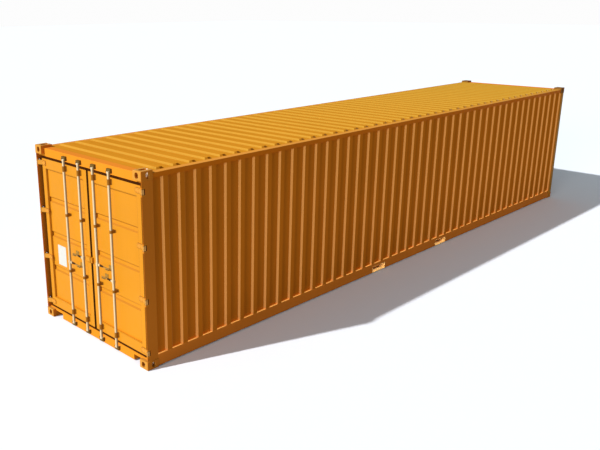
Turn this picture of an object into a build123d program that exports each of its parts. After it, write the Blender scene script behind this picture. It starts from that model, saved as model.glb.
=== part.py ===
# Forty foot dry freight container, standard height, rebuilt from one photograph.
# Millimetres. X runs from the doors (-X) to the blind end (+X), Y across, Z up from the ground.
import math
import os

from build123d import *

# Overall size
length = 12192.0
width = 2438.0
height = 2591.0
end_x = length / 2
side_y = width / 2

# Corner castings
cast_x = 178.0
cast_y = 162.0
cast_z = 118.0
cast_wall = 28.0
cast_back = 12.0
cast_edge = 5.0
slot_from_end = 103.5
slot_from_side = 89.5
slot_length = 124.5
slot_width = 63.5
aperture_from_end = 98.0
aperture_from_side = 89.0
aperture_height = 79.5
side_aperture_width = 51.0
end_aperture_width = 63.5
aperture_z = 60.0
corner_inner_x = end_x - cast_x
corner_inner_y = side_y - cast_y

# How far each face lies inside the castings
skin_inset = 7.0
rail_inset = 5.0
roof_rail_inset = 4.0
front_inset = 6.0
skin_y = side_y - skin_inset
rail_outer_y = side_y - rail_inset
roof_rail_outer_y = side_y - roof_rail_inset
front_outer_x = end_x - front_inset

# Rails, posts and beams
plate = 6.0
under_z = 17.0
bottom_rail_top = 175.0
bottom_rail_flange = 64.0
roof_drop = 41.0
roof_z = height - roof_drop
roof_rail_size = 60.0
roof_rail_wall = 4.0
wall_top_z = roof_z - roof_rail_size
front_post_depth = 100.0
front_post_width = 80.0
front_beam_depth = 60.0
front_post_x = front_outer_x - front_post_depth
front_post_y = rail_outer_y - front_post_width
front_beam_x = front_outer_x - front_beam_depth

# Folds of the side walls, which the roof ribs line up with
wall_sheet = 2.0
wave_from_end = 314.5
wave_pitch = 265.7
wave_run = 24.0
wave_crest = 78.0
wave_depth = 26.0
wave_first_x = -end_x + wave_from_end
wave_count = math.floor((front_post_x - wave_first_x - wave_run) / wave_pitch) + 1
rib_height = 23.0
rib_margin = 45.0
end_plate = 4.0
rib_half_span = roof_rail_outer_y - roof_rail_size - rib_margin

# Folds of the blind end
front_wave_pitch = 267.0
front_wave_run = 40.0
front_wave_crest = 93.5
front_wave_depth = 30.0
front_skin_inset = 10.0
front_skin_x = front_outer_x - front_skin_inset
front_wave_count = math.floor(2 * front_post_y / front_wave_pitch)

# Floor and what carries it
floor_z = 160.0
floor_thick = 28.0
floor_gap = 4.0
floor_y = skin_y - wave_depth - wall_sheet - floor_gap
joist_pitch = 290.0
joist_flange = 45.0
joist_web = 4.5
joist_count = 2 * math.floor((corner_inner_x - cast_x) / joist_pitch) + 1

# Fork pockets
pocket_spacing = 2050.0
pocket_length = 360.0
pocket_height = 100.0
pocket_wall = 4.0
pocket_z0 = under_z + pocket_wall

# Recess for a trailer's gooseneck, under the blind end
neck_length = 3340.0
neck_width = 1030.0
neck_wall = 6.0
neck_x = end_x - neck_length
neck_y = neck_width / 2
neck_top_z = floor_z - floor_thick

# Door end frame
face_inset = 50.0
leaf_thick = 50.0
seal_proud = 2.0
seal_gap = 6.0
face_x = -end_x + face_inset
leaf_back_x = face_x + leaf_thick
step_x = leaf_back_x + seal_proud + seal_gap
sill_back_x = -end_x + 150.0
sill_z0 = 15.0
sill_top_z = 134.0
sill_notch_length = 187.0
sill_notch_z = 95.0
sill_notch_y = corner_inner_y - sill_notch_length
header_drop = 153.0
header_z0 = height - header_drop
post_front_x = -end_x + 6.0
post_width = 44.0
jbar_y = rail_outer_y - plate
post_inner_y = rail_outer_y - post_width

# Hinges
pin_inset = 13.0
pin_r = 7.0
pin_gap = 0.05
knuckle_r = 11.0
blade_height = 70.0
blade_thick = 10.0
blade_length = 104.0
blade_corner = 14.0
heel_reach = 34.0
heel_corner = 6.0
lug_height = 20.0
lug_gap = 3.0
hinge_count = 4
hinge_low = 73.0
hinge_high = 70.0
notch_depth = 52.0
pin_x = -end_x + pin_inset
pin_y = side_y - pin_inset
hinge_notch_x = post_front_x + notch_depth

# Door leaves
leaf_y0 = 15.0
leaf_to_pin = 66.0
leaf_seat = 28.0
leaf_y1 = pin_y - leaf_to_pin
leaf_z0 = sill_top_z + leaf_seat
leaf_z1 = header_z0 - leaf_seat
hinge_stile = 90.0
centre_stile = 100.0
leaf_rail = 152.0
frame_wall = 4.0
frame_edge = 4.0
panel_sheet = 3.0
panel_set = 28.0
groove_low = 466.0
groove_pitch = 517.0
groove_half_bottom = 22.0
groove_half_top = 42.0
panel_y0 = leaf_y0 + centre_stile
panel_y1 = leaf_y1 - hinge_stile
panel_z0 = leaf_z0 + leaf_rail
panel_z1 = leaf_z1 - leaf_rail
panel_x = face_x + panel_set
groove_count = math.floor((panel_z1 - 2 * groove_half_top - panel_z0 - groove_low) / groove_pitch) + 1
hinge_z0 = leaf_z0 + hinge_low
hinge_pitch = (leaf_z1 - hinge_high - hinge_z0) / (hinge_count - 1)
hinge_z = [hinge_z0 + i * hinge_pitch for i in range(hinge_count)]

# Door seals
seal_base = 6.0
lip_thick = 6.0
front_lip_set = 4.0
centre_lip_gap = 4.0
front_lip_out = 22.0
rear_lip_out = 45.0
lip_z0 = sill_top_z + seal_gap
lip_z1 = header_z0 - seal_gap

# Locking bars and their guides
bar_off = 25.5
bar_r = 19.0
bar_wall = 4.0
bar_end = 14.0
inner_bar_off = 153.0
bar_spacing = 354.0
bar_x = face_x - bar_off
inner_bar_y = leaf_y0 + inner_bar_off
outer_bar_y = inner_bar_y + bar_spacing
guide_low = 92.0
guide_mid_low = 715.0
guide_mid_high = 718.0
guide_high = 65.0
end_guide_height = 76.0
mid_guide_height = 40.0
guide_gap = 0.2
guide_strap = 4.0
guide_plate_y = 70.0
guide_plate = 5.0
guide_corner = 6.0

# Cams and keepers
cam_r = 20.5
cam_nose = 8.0
cam_reach = 30.0
cam_height = 26.0
cam_below_sill = 44.0
cam_above_header = 28.0
cam_low_z = sill_top_z - cam_below_sill
cam_high_z = header_z0 + cam_above_header
keeper_inner = 37.0
keeper_plate = 8.0
keeper_reach = 34.0
keeper_half = 45.0
keeper_height = 20.0
keeper_corner = 8.0
keeper_cap_gap = 5.5
keeper_cap = 28.0

# Handles, hubs and catches
upper_handle_z = 1158.0
handle_drop = 145.0
hub_r = 24.0
hub_height = 44.0
ear_thick = 5.0
ear_play = 0.5
pivot_off = 42.0
pivot_r = 5.0
pivot_head_r = 8.0
pivot_head = 3.0
lever_thick = 8.0
lever_r = 15.0
lever_flat = 30.0
grip_start = 112.0
grip_r = 9.0
lever_tip = 268.0
catch_from = 188.0
catch_width = 76.0
catch_gap = 6.0
catch_plate = 5.0
catch_reach = 70.0
catch_up = 48.0
catch_down = 32.0
catch_brace = 24.0

# Centre lock block, one half on each leaf
lock_z0 = 1137.0
lock_height = 75.0
lock_proud = 32.0
lock_wall = 6.0
lock_edge = 5.0
left_lock = (3.0, 111.0)
right_lock = (7.0, 45.0)

os.makedirs("parts", exist_ok=True)


def save(node, name):
    node.part.label = name
    export_step(node.part, "parts/" + name + ".step")


def block(x0, x1, y0, y1, z0, z1, mode=Mode.ADD):
    """A box between two corners, given in any order."""
    with Locations(((x0 + x1) / 2, (y0 + y1) / 2, (z0 + z1) / 2)):
        Box(abs(x1 - x0), abs(y1 - y0), abs(z1 - z0), mode=mode)


def upright(x, y, z0, z1, radius, mode=Mode.ADD):
    """A round along Z."""
    with Locations((x, y, (z0 + z1) / 2)):
        Cylinder(radius, z1 - z0, mode=mode)


def across(x0, x1, y, z, radius, mode=Mode.ADD):
    """A round along X."""
    with Locations(Plane(((x0 + x1) / 2, y, z), z_dir=(1, 0, 0))):
        Cylinder(radius, abs(x1 - x0), mode=mode)


def four_castings(top):
    """One hollow corner casting, mirrored to the four corners of the top or bottom."""
    up = 1 if top else -1
    outer_z = height if top else 0.0
    aperture_level = outer_z - up * aperture_z
    cut = cast_wall + cast_back / 2
    with BuildPart() as castings:
        block(corner_inner_x, end_x, corner_inner_y, side_y, outer_z - up * cast_z, outer_z)
        outer_planes = ((Axis.X, end_x), (Axis.Y, side_y), (Axis.Z, outer_z))

        def planes_met(edge):
            middle = edge.center()
            place = (middle.X, middle.Y, middle.Z)
            return sum(abs(place[i] - outer_planes[i][1]) < 0.01 for i in range(3))

        chamfer([e for e in castings.edges() if planes_met(e) == 2], cast_edge)
        block(
            corner_inner_x + cast_back,
            end_x - cast_wall,
            corner_inner_y + cast_back,
            side_y - cast_wall,
            outer_z - up * (cast_z - cast_back),
            outer_z - up * cast_wall,
            Mode.SUBTRACT,
        )
        with BuildSketch(Plane.XY.offset(outer_z)):
            with Locations((end_x - slot_from_end, side_y - slot_from_side)):
                SlotOverall(slot_length, slot_width)
        extrude(amount=-up * cut, mode=Mode.SUBTRACT)
        with BuildSketch(Plane((end_x - aperture_from_end, side_y, aperture_level), (1, 0, 0), (0, 1, 0))):
            SlotOverall(aperture_height, side_aperture_width, rotation=90)
        extrude(amount=-cut, mode=Mode.SUBTRACT)
        with BuildSketch(Plane((end_x, side_y - aperture_from_side, aperture_level), (0, 1, 0), (1, 0, 0))):
            SlotOverall(aperture_height, end_aperture_width, rotation=90)
        extrude(amount=-cut, mode=Mode.SUBTRACT)
        mirror(about=Plane.YZ)
        mirror(about=Plane.XZ)
    return castings


save(four_castings(False), "corner_castings_bottom")
save(four_castings(True), "corner_castings_top")


def sill_shell(inset, mode):
    """The sill with its recesses and the step behind the leaves, inset for the hollow."""
    x0, x1 = face_x + inset, sill_back_x - inset
    top = sill_top_z - inset
    notch = sill_notch_y - inset
    block(x0, x1, -notch, notch, sill_z0 + inset, top, mode)
    block(x0, x1, -corner_inner_y, corner_inner_y, sill_notch_z + inset, top, mode)
    block(step_x + inset, x1, -corner_inner_y, corner_inner_y, sill_notch_z + inset, floor_z - inset, mode)


with BuildPart() as door_sill:
    sill_shell(0.0, Mode.ADD)
    sill_shell(plate, Mode.SUBTRACT)
save(door_sill, "door_sill")

with BuildPart() as door_header:
    block(face_x, sill_back_x, -corner_inner_y, corner_inner_y, header_z0, roof_z)
    block(
        face_x + plate,
        sill_back_x - plate,
        -corner_inner_y,
        corner_inner_y,
        header_z0 + plate,
        roof_z - plate,
        Mode.SUBTRACT,
    )
save(door_header, "door_header")

with BuildPart() as doorway_corner_plates:
    for s in (-1, 1):
        block(face_x, step_x, s * corner_inner_y, s * jbar_y, cast_z, sill_top_z)
        block(step_x, sill_back_x, s * corner_inner_y, s * post_inner_y, cast_z, floor_z)
        block(face_x, step_x, s * corner_inner_y, s * jbar_y, header_z0, height - cast_z)
        block(step_x, sill_back_x, s * corner_inner_y, s * post_inner_y, header_z0, height - cast_z)
save(doorway_corner_plates, "doorway_corner_plates")


def rear_post(s):
    """Channel post with the outer flange that carries the hinges, from one profile."""
    outline = [
        (post_front_x, s * rail_outer_y),
        (-corner_inner_x, s * rail_outer_y),
        (-corner_inner_x, s * post_inner_y),
        (step_x, s * post_inner_y),
        (step_x, s * jbar_y),
        (post_front_x, s * jbar_y),
    ]
    hollow_x = -corner_inner_x - step_x - 2 * plate
    hollow_y = post_width - 2 * plate
    with BuildPart() as post:
        with BuildSketch(Plane.XY.offset(cast_z)):
            with BuildLine():
                Polyline(*outline, close=True)
            make_face()
            with Locations(((step_x - corner_inner_x) / 2, s * (rail_outer_y - post_width / 2))):
                Rectangle(hollow_x, hollow_y, mode=Mode.SUBTRACT)
        extrude(amount=height - 2 * cast_z)
        half = blade_height / 2 + lug_gap + lug_height
        for z in hinge_z:
            block(
                post_front_x,
                hinge_notch_x,
                s * (jbar_y - plate),
                s * side_y,
                z - half,
                z + half,
                Mode.SUBTRACT,
            )
    return post


def hinge_lugs(s):
    """Two lugs and the pin of each hinge, on the post flange."""
    reach = blade_height / 2 + lug_gap
    nose = knuckle_r * 0.45
    outline = [
        (pin_x - knuckle_r, s * (pin_y - nose)),
        (pin_x - knuckle_r, s * (pin_y + nose)),
        (pin_x - nose, s * (pin_y + knuckle_r)),
        (pin_x + knuckle_r, s * (pin_y + knuckle_r)),
        (hinge_notch_x, s * (jbar_y + plate)),
        (hinge_notch_x, s * jbar_y),
        (pin_x + knuckle_r, s * (pin_y - knuckle_r)),
        (pin_x - nose, s * (pin_y - knuckle_r)),
    ]
    with BuildPart() as lugs:
        for z in hinge_z:
            for z0 in (z - reach - lug_height, z + reach):
                with BuildSketch(Plane.XY.offset(z0)):
                    with BuildLine():
                        Polyline(*outline, close=True)
                    make_face()
                extrude(amount=lug_height)
            upright(pin_x, s * pin_y, z - reach - lug_height, z + reach + lug_height, pin_r)
    return lugs


def front_post(s):
    """Hollow corner post of the blind end."""
    with BuildPart() as post:
        middle = ((front_post_x + front_outer_x) / 2, s * (front_post_y + rail_outer_y) / 2)
        with BuildSketch(Plane.XY.offset(cast_z)):
            with Locations(middle):
                Rectangle(front_post_depth, front_post_width)
                Rectangle(front_post_depth - 2 * plate, front_post_width - 2 * plate, mode=Mode.SUBTRACT)
        extrude(amount=height - 2 * cast_z)
    return post


with BuildPart() as front_sill:
    block(front_beam_x, front_outer_x, -corner_inner_y, corner_inner_y, under_z, floor_z)
    block(
        front_beam_x + plate,
        front_outer_x - plate,
        -corner_inner_y,
        corner_inner_y,
        under_z + plate,
        floor_z - plate,
        Mode.SUBTRACT,
    )
    for s in (-1, 1):
        block(front_beam_x, front_outer_x, s * corner_inner_y, s * front_post_y, cast_z, floor_z)
    outer = neck_y + neck_wall
    block(front_beam_x, front_outer_x, -outer, outer, 0, neck_top_z, Mode.SUBTRACT)
save(front_sill, "front_sill")

with BuildPart() as front_header:
    with BuildSketch(Plane.XZ.offset(-corner_inner_y)):
        with Locations((front_outer_x - front_beam_depth / 2, roof_z - roof_rail_size / 2)):
            Rectangle(front_beam_depth, roof_rail_size)
            inner = roof_rail_size - 2 * roof_rail_wall
            Rectangle(front_beam_depth - 2 * roof_rail_wall, inner, mode=Mode.SUBTRACT)
    extrude(amount=2 * corner_inner_y)
save(front_header, "front_header")


def sheet_outline(line, dx, dy):
    """A line of fold points, closed by the same line moved by the sheet's thickness."""
    return line + [(x + dx, y + dy) for x, y in reversed(line)]


with BuildPart() as front_wall:
    wave = [(front_skin_x, -front_post_y)]
    first_y = -(front_wave_pitch * (front_wave_count - 1) + 2 * front_wave_run + front_wave_crest) / 2
    for i in range(front_wave_count):
        y = first_y + i * front_wave_pitch
        deep_x = front_skin_x - front_wave_depth
        wave.append((front_skin_x, y))
        wave.append((deep_x, y + front_wave_run))
        wave.append((deep_x, y + front_wave_run + front_wave_crest))
        wave.append((front_skin_x, y + 2 * front_wave_run + front_wave_crest))
    wave.append((front_skin_x, front_post_y))
    with BuildSketch(Plane.XY.offset(floor_z)):
        with BuildLine():
            Polyline(*sheet_outline(wave, -wall_sheet, 0), close=True)
        make_face()
    extrude(amount=wall_top_z - floor_z)
    for s in (-1, 1):
        block(
            front_beam_x,
            front_outer_x,
            s * corner_inner_y,
            s * front_post_y,
            height - cast_z,
            wall_top_z,
            Mode.SUBTRACT,
        )
save(front_wall, "front_wall")


def side_wall(s):
    """Folded sheet with upright troughs, from the rear post to the front post."""
    recess = s * (skin_y - wave_depth)
    crest = s * skin_y
    line = [(-corner_inner_x, recess)]
    for i in range(wave_count):
        x = wave_first_x + i * wave_pitch
        line.append((x, recess))
        line.append((x + wave_run, crest))
        if i < wave_count - 1:
            line.append((x + wave_run + wave_crest, crest))
            line.append((x + 2 * wave_run + wave_crest, recess))
    line.append((front_post_x, crest))
    with BuildPart() as wall:
        with BuildSketch(Plane.XY.offset(bottom_rail_top)):
            with BuildLine():
                Polyline(*sheet_outline(line, 0, -s * wall_sheet), close=True)
            make_face()
        extrude(amount=wall_top_z - bottom_rail_top)
        block(
            corner_inner_x,
            front_post_x,
            s * floor_y,
            s * side_y,
            height - cast_z,
            wall_top_z,
            Mode.SUBTRACT,
        )
    return wall


def roof_rail(s):
    """Square tube along the top of a side wall."""
    with BuildPart() as rail:
        with BuildSketch(Plane.YZ.offset(-corner_inner_x)):
            with Locations((s * (roof_rail_outer_y - roof_rail_size / 2), roof_z - roof_rail_size / 2)):
                Rectangle(roof_rail_size, roof_rail_size)
                inner = roof_rail_size - 2 * roof_rail_wall
                Rectangle(inner, inner, mode=Mode.SUBTRACT)
        extrude(amount=2 * corner_inner_x)
    return rail


def bottom_rail(s):
    """Channel open inwards, cut through by the fork pockets."""
    outer = s * rail_outer_y
    inner = s * (rail_outer_y - bottom_rail_flange)
    web = s * (rail_outer_y - plate)
    channel = [
        (inner, under_z),
        (outer, under_z),
        (outer, bottom_rail_top),
        (inner, bottom_rail_top),
        (inner, bottom_rail_top - plate),
        (web, bottom_rail_top - plate),
        (web, under_z + plate),
        (inner, under_z + plate),
    ]
    with BuildPart() as rail:
        with BuildSketch(Plane.YZ.offset(-corner_inner_x)):
            with BuildLine():
                Polyline(*channel, close=True)
            make_face()
        extrude(amount=2 * corner_inner_x)
        half = pocket_length / 2 + pocket_wall
        top = under_z + pocket_height + 2 * pocket_wall
        for x in (-pocket_spacing / 2, pocket_spacing / 2):
            block(x - half, x + half, 0, s * side_y, 0, top, Mode.SUBTRACT)
    return rail


with BuildPart() as fork_pockets:
    with BuildSketch(Plane.XZ.offset(-rail_outer_y)):
        level = pocket_z0 + pocket_height / 2
        with Locations((-pocket_spacing / 2, level), (pocket_spacing / 2, level)):
            Rectangle(pocket_length + 2 * pocket_wall, pocket_height + 2 * pocket_wall)
            Rectangle(pocket_length, pocket_height, mode=Mode.SUBTRACT)
    extrude(amount=2 * rail_outer_y)
save(fork_pockets, "fork_pockets")

with BuildPart() as gooseneck_recess:
    with BuildSketch(Plane.YZ.offset(neck_x)):
        with Locations((0, (under_z + neck_top_z) / 2)):
            Rectangle(neck_width + 2 * neck_wall, neck_top_z - under_z)
        with Locations((0, (under_z + neck_top_z - neck_wall) / 2)):
            Rectangle(neck_width, neck_top_z - neck_wall - under_z, mode=Mode.SUBTRACT)
    extrude(amount=front_outer_x - neck_x)
save(gooseneck_recess, "gooseneck_recess")


with BuildPart() as roof:
    half = roof_rail_outer_y
    block(-corner_inner_x, corner_inner_x, -half, half, roof_z, roof_z + wall_sheet)
    first = wave_first_x + wave_run + wave_crest / 2
    slope = math.degrees(math.atan(wave_run / rib_height))
    for level, mode in ((roof_z + wall_sheet, Mode.ADD), (roof_z, Mode.SUBTRACT)):
        with BuildSketch(Plane.XY.offset(level)):
            with Locations(*[(first + i * wave_pitch, 0) for i in range(wave_count - 1)]):
                Rectangle(wave_crest + 2 * wave_run, 2 * rib_half_span)
        extrude(amount=rib_height, taper=slope, mode=mode)
save(roof, "roof")

with BuildPart() as roof_end_plates:
    for x0, x1 in ((face_x, -corner_inner_x), (corner_inner_x, front_outer_x)):
        block(x0, x1, -corner_inner_y, corner_inner_y, roof_z, roof_z + end_plate)
save(roof_end_plates, "roof_end_plates")

with BuildPart() as floor:
    block(sill_back_x, front_beam_x, -floor_y, floor_y, floor_z - floor_thick, floor_z)
    for s in (-1, 1):
        block(-corner_inner_x, -end_x, s * corner_inner_y, s * side_y, under_z, floor_z, Mode.SUBTRACT)
        block(corner_inner_x, end_x, s * corner_inner_y, s * side_y, under_z, floor_z, Mode.SUBTRACT)
save(floor, "floor")

with BuildPart() as cross_members:
    joist_z0 = under_z + plate
    joist_z1 = floor_z - floor_thick
    joist_y = rail_outer_y - plate
    joist_half = pocket_length / 2 + pocket_wall + joist_flange
    joist_x = [(i - (joist_count - 1) / 2) * joist_pitch for i in range(joist_count)]
    free = [x for x in joist_x if abs(abs(x) - pocket_spacing / 2) > joist_half]
    channel = [
        (0, joist_z0),
        (joist_flange, joist_z0),
        (joist_flange, joist_z0 + joist_web),
        (joist_web, joist_z0 + joist_web),
        (joist_web, joist_z1 - joist_web),
        (joist_flange, joist_z1 - joist_web),
        (joist_flange, joist_z1),
        (0, joist_z1),
    ]
    with BuildSketch(mode=Mode.PRIVATE) as section:
        with BuildLine():
            Polyline(*channel, close=True)
        make_face()
    with BuildSketch(Plane.XZ.offset(-joist_y)):
        with Locations(*[(x, 0) for x in free]):
            add(section.sketch)
    extrude(amount=2 * joist_y)
    block(neck_x, end_x, -neck_y - neck_wall, neck_y + neck_wall, 0, joist_z1, Mode.SUBTRACT)
save(cross_members, "cross_members")

bar_places = (-outer_bar_y, -inner_bar_y, inner_bar_y, outer_bar_y)
keeper_front = face_x - keeper_reach

with BuildPart() as bar_keepers:
    for z, out in ((cam_low_z, -1), (cam_high_z, 1)):
        near = z + out * (bar_end + keeper_cap_gap)
        far = z - out * keeper_height / 2
        cheek = [
            (face_x, near),
            (keeper_front, near),
            (keeper_front, far + out * keeper_corner),
            (keeper_front + keeper_corner, far),
            (face_x, far),
        ]
        for y in bar_places:
            for s in (-1, 1):
                side = y + s * (keeper_inner + keeper_plate / 2)
                with BuildSketch(Plane.XZ.offset(-side - keeper_plate / 2)):
                    with BuildLine():
                        Polyline(*cheek, close=True)
                    make_face()
                extrude(amount=keeper_plate)
save(bar_keepers, "bar_keepers")

with BuildPart() as keeper_caps:
    for z, out in ((cam_low_z, -1), (cam_high_z, 1)):
        cap_z0 = z + out * (bar_end + keeper_cap_gap)
        for y in bar_places:
            with BuildSketch(Plane.XY.offset(cap_z0)):
                with Locations((face_x - keeper_reach / 2, y)):
                    Rectangle(keeper_reach, 2 * keeper_half)
                front = face_x - keeper_reach
                corners = [v for v in vertices() if abs(v.X - front) < 1 and abs(v.Y - y) > 1]
                chamfer(corners, keeper_corner)
            extrude(amount=out * keeper_cap)
save(keeper_caps, "keeper_caps")


def door_frame(s):
    """Hollow rails and stiles of one leaf, welded into a frame."""
    y0, y1 = s * leaf_y0, s * leaf_y1
    in0, in1 = s * panel_y0, s * panel_y1
    w = frame_wall
    with BuildPart() as frame:
        block(face_x, leaf_back_x, y0, y1, leaf_z0, leaf_z1)
        block(face_x, leaf_back_x, in0, in1, panel_z0, panel_z1, Mode.SUBTRACT)
        front_edges = frame.faces().sort_by(Axis.X)[0].edges()
        chamfer(front_edges, frame_edge)
        for a, b in ((y0 + s * w, in0 - s * w), (in1 + s * w, y1 - s * w)):
            block(face_x + w, leaf_back_x - w, a, b, leaf_z0 + w, leaf_z1 - w, Mode.SUBTRACT)
        for a, b in ((leaf_z0 + w, panel_z0 - w), (panel_z1 + w, leaf_z1 - w)):
            block(face_x + w, leaf_back_x - w, y0 + s * w, y1 - s * w, a, b, Mode.SUBTRACT)
    return frame


def door_panel(s):
    """Pressed sheet with grooves across, set back in the frame."""
    deep = leaf_back_x - panel_sheet
    line = [(panel_x, panel_z0)]
    for i in range(groove_count):
        z = panel_z0 + groove_low + i * groove_pitch
        line.append((panel_x, z - groove_half_top))
        line.append((deep, z - groove_half_bottom))
        line.append((deep, z + groove_half_bottom))
        line.append((panel_x, z + groove_half_top))
    line.append((panel_x, panel_z1))
    with BuildPart() as panel:
        with BuildSketch(Plane.XZ.offset(-s * panel_y0)):
            with BuildLine():
                Polyline(*sheet_outline(line, panel_sheet, 0), close=True)
            make_face()
        extrude(amount=-s * (panel_y1 - panel_y0))
    return panel


def ring(x0, x1, s, y0, y1, z0, z1):
    """A frame around the leaf edge, out to y0, y1, z0 and z1."""
    block(x0, x1, s * y0, s * leaf_y0, z0, z1)
    block(x0, x1, s * leaf_y1, s * y1, z0, z1)
    block(x0, x1, s * y0, s * y1, z0, leaf_z0)
    block(x0, x1, s * y0, s * y1, leaf_z1, z1)


def door_gasket(s):
    """Rubber strip round the leaf with a front and a rear lip."""
    near = leaf_y0 - seal_base
    lip_x = face_x + front_lip_set
    rear_x = leaf_back_x + seal_proud
    with BuildPart() as gasket:
        ring(face_x, leaf_back_x, s, near, leaf_y1 + seal_base, leaf_z0 - seal_base, leaf_z1 + seal_base)
        ring(lip_x, lip_x + lip_thick, s, centre_lip_gap, leaf_y1 + front_lip_out, lip_z0, lip_z1)
        ring(leaf_back_x - lip_thick, rear_x, s, near, leaf_y1 + rear_lip_out, lip_z0, lip_z1)
    return gasket


def door_hinges(s):
    """Blades from the leaf face to a knuckle round each pin."""
    end_y = leaf_y1 - blade_length
    out = face_x - blade_thick
    heel_x = pin_x + heel_reach
    outline = [
        (out, s * end_y),
        (face_x, s * end_y),
        (face_x, s * leaf_y1),
        (pin_x + knuckle_r * 0.6, s * (pin_y - 3)),
        (pin_x - knuckle_r * 0.3, s * (pin_y - 7)),
        (out, s * (leaf_y1 - 6)),
    ]
    heel = [
        (pin_x, s * pin_y),
        (pin_x, s * (pin_y + knuckle_r)),
        (heel_x - heel_corner, s * (pin_y + knuckle_r)),
        (heel_x, s * (pin_y + knuckle_r - heel_corner)),
        (heel_x, s * (pin_y - 3)),
    ]
    with BuildPart() as hinges:
        for z in hinge_z:
            with BuildSketch(Plane.XY.offset(z - blade_height / 2)):
                for shape in (outline, heel):
                    with BuildLine():
                        Polyline(*shape, close=True)
                    make_face()
                with Locations((pin_x, s * pin_y)):
                    Circle(knuckle_r)
                    Circle(pin_r + pin_gap, mode=Mode.SUBTRACT)
            extrude(amount=blade_height)
        tips = [e for e in hinges.edges().filter_by(Axis.X) if abs(e.center().Y - s * end_y) < 0.01]
        chamfer(tips, blade_corner)
    return hinges


def bar_brackets(s):
    """Guides of both bars: a strap round the bar, on a plate on the leaf."""
    guides = [
        (leaf_z0 + guide_low, end_guide_height),
        (leaf_z0 + guide_mid_low, mid_guide_height),
        (leaf_z1 - guide_mid_high, mid_guide_height),
        (leaf_z1 - guide_high, end_guide_height),
    ]
    inside = bar_r + guide_gap
    outside = inside + guide_strap
    with BuildPart() as brackets:
        for y in (s * inner_bar_y, s * outer_bar_y):
            for z, tall in guides:
                seat = panel_x if panel_z0 < z < panel_z1 else face_x
                plate_x = seat - guide_plate
                with BuildSketch(Plane((plate_x, y, z), (0, 1, 0), (1, 0, 0))) as foot:
                    Rectangle(guide_plate_y, tall)
                    chamfer(foot.vertices(), guide_corner)
                extrude(amount=guide_plate)
                with BuildSketch(Plane.XY.offset(z - tall / 2)):
                    for radius, mode in ((outside, Mode.ADD), (inside, Mode.SUBTRACT)):
                        with Locations((bar_x, y)):
                            Circle(radius, mode=mode)
                        with Locations(((bar_x + plate_x) / 2, y)):
                            Rectangle(plate_x - bar_x, 2 * radius, mode=mode)
                extrude(amount=tall)
    return brackets


def lock_bar(y, side, z):
    """Tube, end cams and clevis hub; side is the way the handle points."""
    ear_in = lever_thick / 2 + ear_play
    ear_out = ear_in + ear_thick
    pivot_y = y + side * pivot_off
    cam = [
        (-cam_r, -cam_r * 0.6),
        (-cam_r, cam_r * 0.6),
        (-cam_r * 0.5, cam_r),
        (cam_reach - cam_nose, cam_r * 0.75),
        (cam_reach, cam_nose * 0.5),
        (cam_reach, -cam_nose),
        (cam_reach - cam_nose, -cam_r * 0.9),
        (-cam_r * 0.5, -cam_r),
    ]
    with BuildPart() as bar:
        upright(bar_x, y, cam_low_z - bar_end, cam_high_z + bar_end, bar_r)
        for level in (cam_low_z, cam_high_z):
            with BuildSketch(Plane((bar_x, y, level - cam_height / 2), (0, side, 0), (0, 0, 1))):
                with BuildLine():
                    Polyline(*cam, close=True)
                make_face()
            extrude(amount=cam_height)
        with BuildSketch(Plane.XY.offset(z - hub_height / 2)):
            with Locations((bar_x, y)):
                RegularPolygon(hub_r, 8)
        extrude(amount=hub_height)
        for x0 in (bar_x - ear_out, bar_x + ear_in):
            ear_plane = Plane((x0, y + side * (pivot_off + lever_r) / 2, z), (0, 1, 0), (1, 0, 0))
            with BuildSketch(ear_plane) as ear:
                Rectangle(pivot_off + lever_r, 2 * lever_r)
                chamfer(ear.vertices(), lever_r * 0.6)
            extrude(amount=ear_thick)
        upright(bar_x, y, cam_low_z - bar_end, cam_high_z + bar_end, bar_r - bar_wall, Mode.SUBTRACT)
        across(bar_x - ear_out, bar_x + ear_out, pivot_y, z, pivot_r)
        for x0 in (bar_x - ear_out - pivot_head, bar_x + ear_out):
            with BuildSketch(Plane((x0, pivot_y, z), (0, 1, 0), (1, 0, 0))):
                RegularPolygon(pivot_head_r, 6)
            extrude(amount=pivot_head)
    return bar


def lever(y, side, z):
    """Forged lever: flat and round-ended at the pivot, tapering into a round grip."""
    with BuildPart() as handle:
        neck = grip_start - pivot_off
        back_x = bar_x - lever_thick / 2
        with BuildSketch(Plane((back_x, y + side * pivot_off, z), (0, side, 0), (side, 0, 0))):
            Circle(lever_r)
            with BuildLine():
                Polyline((0, -lever_r), (0, lever_r), (lever_flat, lever_r), (neck, grip_r), close=False)
                Polyline((neck, grip_r), (neck, -grip_r), (lever_flat, -lever_r), (0, -lever_r))
            make_face()
            Circle(pivot_r + pin_gap, mode=Mode.SUBTRACT)
        extrude(amount=side * lever_thick)
        with BuildSketch(Plane((bar_x, y + side * (grip_start - grip_r), z), (1, 0, 0), (0, side, 0))):
            Circle(grip_r)
        extrude(amount=lever_tip - grip_start + grip_r)
        chamfer(handle.faces().sort_by(Axis.Y)[-1 if side > 0 else 0].edges(), grip_r / 3)
    return handle


def handle_catches(s):
    """A braced shelf under each grip, on a plate on the leaf panel."""
    upper = (s * inner_bar_y, s, upper_handle_z)
    lower = (s * outer_bar_y, -s, upper_handle_z - handle_drop)
    with BuildPart() as catches:
        for y, side, z in (upper, lower):
            top = z - grip_r - catch_gap
            back = panel_x - catch_plate
            profile = [
                (panel_x, top - catch_down),
                (panel_x, top + catch_up),
                (back, top + catch_up),
                (back, top),
                (panel_x - catch_reach, top),
                (panel_x - catch_reach, top - catch_plate),
                (back - catch_brace, top - catch_plate),
                (back, top - catch_down),
            ]
            with BuildSketch(Plane.XZ.offset(-y - side * catch_from)):
                with BuildLine():
                    Polyline(*profile, close=True)
                make_face()
            extrude(amount=-side * catch_width)
    return catches


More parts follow.
